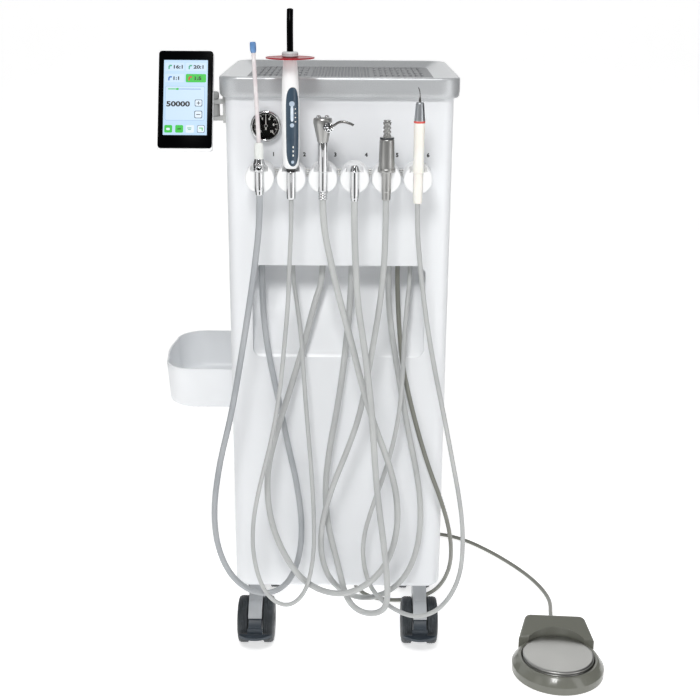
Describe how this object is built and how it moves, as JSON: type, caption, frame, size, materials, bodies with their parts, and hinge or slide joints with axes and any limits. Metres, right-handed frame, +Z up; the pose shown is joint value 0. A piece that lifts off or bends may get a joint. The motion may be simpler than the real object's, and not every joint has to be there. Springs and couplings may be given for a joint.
{
  "type": "portable dental unit",
  "caption": "Wheeled dental cabinet with a row of hose-fed instruments in cradles, a top tray, a tilting touch display on an arm, a side cup and a round foot control.",
  "frame": {"origin": "on the floor, under the middle of the box around the whole unit without its hoses", "axes": "+Z up; the front with the instruments faces -Y; +X is to the right of someone facing the front"},
  "size_m": [0.64, 0.5076, 0.9254],
  "materials": {
    "white_enamel": "gloss white powder enamel on sheet steel",
    "zinc_steel": "zinc plated steel",
    "charcoal_nylon": "moulded charcoal nylon",
    "silver_tray": "satin silver lacquer on a moulded tray",
    "grey_rubber": "moulded grey rubber",
    "black_plastic": "moulded black plastic",
    "cast_aluminium": "die-cast aluminium",
    "tank_enamel": "dark grey enamel on steel",
    "clear_bottle": "clear blown bottle",
    "circuit_board": "green glass-fibre board",
    "satin_metal": "satin turned metal",
    "white_plastic": "moulded white plastic",
    "chrome": "bright chrome plate",
    "grey_plastic": "moulded grey plastic",
    "display_glass": "black-backed display glass",
    "pedal_plastic": "moulded grey plastic",
    "clear_tube": "soft translucent tube",
    "red_shield": "orange-red transparent shield",
    "blue_key": "slate blue key",
    "ivory_plastic": "ivory autoclavable plastic",
    "hose_skin": "light grey hose skin",
    "pedal_hose_skin": "olive grey hose skin",
    "hood_plastic": "moulded mid-grey plastic",
    "wheel_rubber": "charcoal wheel",
    "brake_plastic": "dark slate plastic"
  },
  "bodies": {
    "root": {"cabinet_shell": "white_enamel", "base_plate": "zinc_steel", "caster_mounts": "charcoal_nylon", "equipment_shelf": "zinc_steel", "top_tray": "silver_tray", "tray_mat": "grey_rubber", "rear_panel": "white_enamel", "panel_screws": "zinc_steel", "power_inlet": "black_plastic", "compressor": "cast_aluminium", "air_tank": "tank_enamel", "water_bottle": "clear_bottle", "control_board": "circuit_board", "valve_manifold": "cast_aluminium", "hose_glands": "grey_rubber", "holder_bar": "satin_metal", "instrument_holders": "white_plastic", "gauge_case": "chrome", "display_bracket": "grey_plastic", "pedal_base": "pedal_plastic", "pedal_hood": "pedal_plastic", "ejector_hose": "hose_skin", "curing_light_cable": "hose_skin", "syringe_hose": "hose_skin", "high_speed_hose": "hose_skin", "motor_hose": "hose_skin", "scaler_hose": "hose_skin", "pedal_hose": "pedal_hose_skin"},
    "gauge_pointer": {"gauge_pointer": "white_plastic"},
    "display_arm": {"display_arm": "grey_plastic"},
    "display": {"display_case": "white_plastic", "display_glass": "display_glass"},
    "power_switch": {"power_switch": "black_plastic"},
    "side_cup": {"side_cup": "white_plastic"},
    "pedal_disc": {"pedal_disc": "satin_metal"},
    "ejector": {"ejector_body": "chrome", "ejector_tube": "clear_tube"},
    "ejector_valve": {"ejector_valve": "chrome"},
    "curing_light": {"curing_light_body": "white_plastic"},
    "light_guide": {"curing_light_guide": "black_plastic", "curing_light_shield": "red_shield"},
    "curing_light_button": {"curing_light_button": "blue_key"},
    "syringe": {"syringe_body": "satin_metal"},
    "syringe_nozzle": {"syringe_nozzle": "chrome"},
    "syringe_air_button": {"syringe_air_button": "blue_key"},
    "syringe_water_button": {"syringe_water_button": "blue_key"},
    "high_speed": {"high_speed_coupling": "chrome"},
    "motor": {"air_motor": "satin_metal"},
    "scaler": {"scaler_body": "ivory_plastic", "scaler_tip": "chrome"},
    "caster_hood_front_left": {"caster_hood_front_left": "hood_plastic"},
    "caster_wheels_front_left": {"caster_wheels_front_left": "wheel_rubber"},
    "caster_brake_front_left": {"caster_brake_front_left": "brake_plastic"},
    "caster_hood_front_right": {"caster_hood_front_right": "hood_plastic"},
    "caster_wheels_front_right": {"caster_wheels_front_right": "wheel_rubber"},
    "caster_brake_front_right": {"caster_brake_front_right": "brake_plastic"},
    "caster_hood_rear_left": {"caster_hood_rear_left": "hood_plastic"},
    "caster_wheels_rear_left": {"caster_wheels_rear_left": "wheel_rubber"},
    "caster_hood_rear_right": {"caster_hood_rear_right": "hood_plastic"},
    "caster_wheels_rear_right": {"caster_wheels_rear_right": "wheel_rubber"}
  },
  "joints": [
    {"name": "gauge_pointer_turn", "type": "hinge", "parent": "root", "child": "gauge_pointer", "pos_m": [-0.16, -0.10925, 0.778], "axis": [0, 1, 0], "range_deg": [-135, 135]},
    {"name": "display_arm_swing", "type": "hinge", "parent": "root", "child": "display_arm", "pos_m": [-0.232, -0.06525, 0.793], "axis": [0, 0, 1], "range_deg": [-60, 5]},
    {"name": "display_tilt", "type": "hinge", "parent": "display_arm", "child": "display", "pos_m": [-0.262, -0.08625, 0.795], "axis": [1, 0, 0], "range_deg": [-25, 15]},
    {"name": "power_switch_rock", "type": "hinge", "parent": "root", "child": "power_switch", "pos_m": [-0.056, 0.18975, 0.235], "axis": [1, 0, 0], "range_deg": [0, 18]},
    {"name": "side_cup_lift", "type": "slide", "parent": "root", "child": "side_cup", "axis": [0, 0, 1], "range_m": [0, 0.014]},
    {"name": "pedal_press", "type": "slide", "parent": "root", "child": "pedal_disc", "axis": [0, 0, -1], "range_m": [0, 0.005], "stiffness_N_per_m": 3000, "springref_m": -0.003},
    {"name": "ejector_lift", "type": "slide", "parent": "root", "child": "ejector", "axis": [0, 0, 1], "range_m": [0, 0.045]},
    {"name": "ejector_valve_turn", "type": "hinge", "parent": "ejector", "child": "ejector_valve", "pos_m": [-0.166, -0.16125, 0.7335], "axis": [0, 1, 0], "range_deg": [0, 90]},
    {"name": "curing_light_lift", "type": "slide", "parent": "root", "child": "curing_light", "axis": [0, 0, 1], "range_m": [0, 0.045]},
    {"name": "light_guide_turn", "type": "hinge", "parent": "curing_light", "child": "light_guide", "pos_m": [-0.126, -0.15525, 0.857], "axis": [0, 0, 1], "continuous": true},
    {"name": "curing_light_button_press", "type": "slide", "parent": "curing_light", "child": "curing_light_button", "axis": [-0.2079, 0.9781, 0], "range_m": [0, 0.0008], "stiffness_N_per_m": 800},
    {"name": "syringe_lift", "type": "slide", "parent": "root", "child": "syringe", "axis": [0, 0, 1], "range_m": [0, 0.045]},
    {"name": "syringe_nozzle_turn", "type": "hinge", "parent": "syringe", "child": "syringe_nozzle", "pos_m": [-0.08, -0.16564, 0.784], "axis": [0.5, -0.866, 0], "continuous": true},
    {"name": "syringe_air_button_press", "type": "slide", "parent": "syringe", "child": "syringe_air_button", "axis": [0, 0, -1], "range_m": [0, 0.002], "stiffness_N_per_m": 800},
    {"name": "syringe_water_button_press", "type": "slide", "parent": "syringe", "child": "syringe_water_button", "axis": [0, 0, -1], "range_m": [0, 0.002], "stiffness_N_per_m": 800},
    {"name": "high_speed_lift", "type": "slide", "parent": "root", "child": "high_speed", "axis": [0, 0, 1], "range_m": [0, 0.045]},
    {"name": "motor_lift", "type": "slide", "parent": "root", "child": "motor", "axis": [0, 0, 1], "range_m": [0, 0.045]},
    {"name": "scaler_lift", "type": "slide", "parent": "root", "child": "scaler", "axis": [0, 0, 1], "range_m": [0, 0.045]},
    {"name": "caster_swivel_front_left", "type": "hinge", "parent": "root", "child": "caster_hood_front_left", "pos_m": [-0.188, -0.02725, 0.12], "axis": [0, 0, 1], "continuous": true},
    {"name": "caster_roll_front_left", "type": "hinge", "parent": "caster_hood_front_left", "child": "caster_wheels_front_left", "pos_m": [-0.188, -0.05225, 0.035], "axis": [1, 0, 0], "continuous": true},
    {"name": "caster_brake_press_front_left", "type": "hinge", "parent": "caster_hood_front_left", "child": "caster_brake_front_left", "pos_m": [-0.188, -0.06825, 0.048], "axis": [1, 0, 0], "range_deg": [0, 8]},
    {"name": "caster_swivel_front_right", "type": "hinge", "parent": "root", "child": "caster_hood_front_right", "pos_m": [0.056, -0.02725, 0.12], "axis": [0, 0, 1], "continuous": true},
    {"name": "caster_roll_front_right", "type": "hinge", "parent": "caster_hood_front_right", "child": "caster_wheels_front_right", "pos_m": [0.056, -0.05225, 0.035], "axis": [1, 0, 0], "continuous": true},
    {"name": "caster_brake_press_front_right", "type": "hinge", "parent": "caster_hood_front_right", "child": "caster_brake_front_right", "pos_m": [0.056, -0.06825, 0.048], "axis": [1, 0, 0], "range_deg": [0, 8]},
    {"name": "caster_swivel_rear_left", "type": "hinge", "parent": "root", "child": "caster_hood_rear_left", "pos_m": [-0.188, 0.14425, 0.12], "axis": [0, 0, 1], "continuous": true},
    {"name": "caster_roll_rear_left", "type": "hinge", "parent": "caster_hood_rear_left", "child": "caster_wheels_rear_left", "pos_m": [-0.188, 0.11925, 0.035], "axis": [1, 0, 0], "continuous": true},
    {"name": "caster_swivel_rear_right", "type": "hinge", "parent": "root", "child": "caster_hood_rear_right", "pos_m": [0.056, 0.14425, 0.12], "axis": [0, 0, 1], "continuous": true},
    {"name": "caster_roll_rear_right", "type": "hinge", "parent": "caster_hood_rear_right", "child": "caster_wheels_rear_right", "pos_m": [0.056, 0.11925, 0.035], "axis": [1, 0, 0], "continuous": true}
  ]
}
